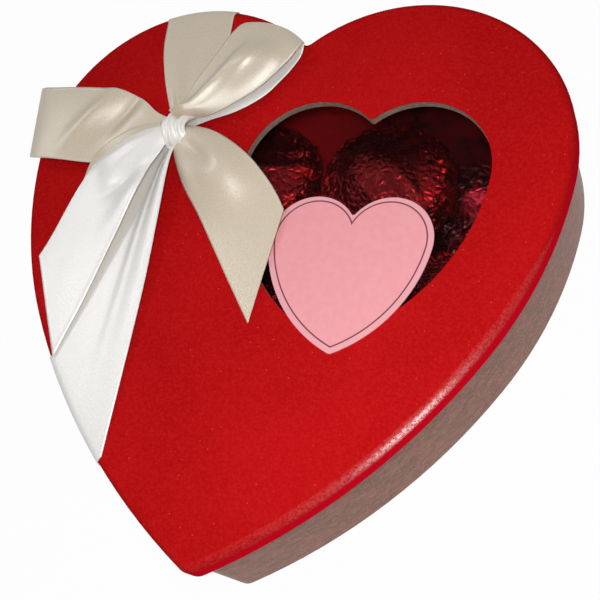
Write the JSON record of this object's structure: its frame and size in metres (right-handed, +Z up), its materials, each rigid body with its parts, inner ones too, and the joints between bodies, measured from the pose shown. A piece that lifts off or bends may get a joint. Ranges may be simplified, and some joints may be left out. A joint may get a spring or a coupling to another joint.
{
  "type": "heart-shaped gift box",
  "caption": "Heart-shaped covered-board gift box with a lift-off cap lid, heart window, tied satin bow and label, holding foil-wrapped chocolates in a formed tray.",
  "frame": {"origin": "on the flat underside of the base, on the heart's axis, midway between the lobe tops and the tip", "axes": "+Z up out of the box, along which the lid lifts; +Y from the tip to the notch; +X to the window side"},
  "size_m": [0.182, 0.1837, 0.0532],
  "materials": {
    "grey_board": "raw greyboard",
    "red_paper": "satin coated, fine grain",
    "clear_film": "clear glossy film",
    "pink_card": "matt card",
    "ivory_satin": "satin weave",
    "under_paper": "uncoated",
    "bronze_paper": "metallic coated",
    "tray_plastic": "formed, glossy",
    "red_foil": "red lacquered foil, crinkled",
    "chocolate": "moulded chocolate"
  },
  "bodies": {
    "base": {"base_sheet": "under_paper", "base_wrap": "bronze_paper", "base_board": "grey_board", "base_wall_left": "grey_board", "base_wall_right": "grey_board", "tray": "tray_plastic", "foil_01": "red_foil", "foil_02": "red_foil", "foil_03": "red_foil", "foil_04": "red_foil", "foil_05": "red_foil", "foil_06": "red_foil", "foil_07": "red_foil", "chocolate_01": "chocolate", "chocolate_02": "chocolate", "chocolate_03": "chocolate", "chocolate_04": "chocolate", "chocolate_05": "chocolate", "chocolate_06": "chocolate", "chocolate_07": "chocolate"},
    "lid": {"lid_board": "grey_board", "lid_skirt_left": "grey_board", "lid_skirt_right": "grey_board", "lid_wrap": "red_paper", "window_film": "clear_film", "label": "pink_card", "ribbon_band": "ivory_satin", "bow_loop_left": "ivory_satin", "bow_loop_right": "ivory_satin", "bow_tail_left": "ivory_satin", "bow_tail_right": "ivory_satin", "bow_knot": "ivory_satin"}
  },
  "joints": [
    {"name": "lid_lift", "type": "slide", "parent": "base", "child": "lid", "axis": [0, 0, 1], "range_m": [0, 0.08]}
  ]
}
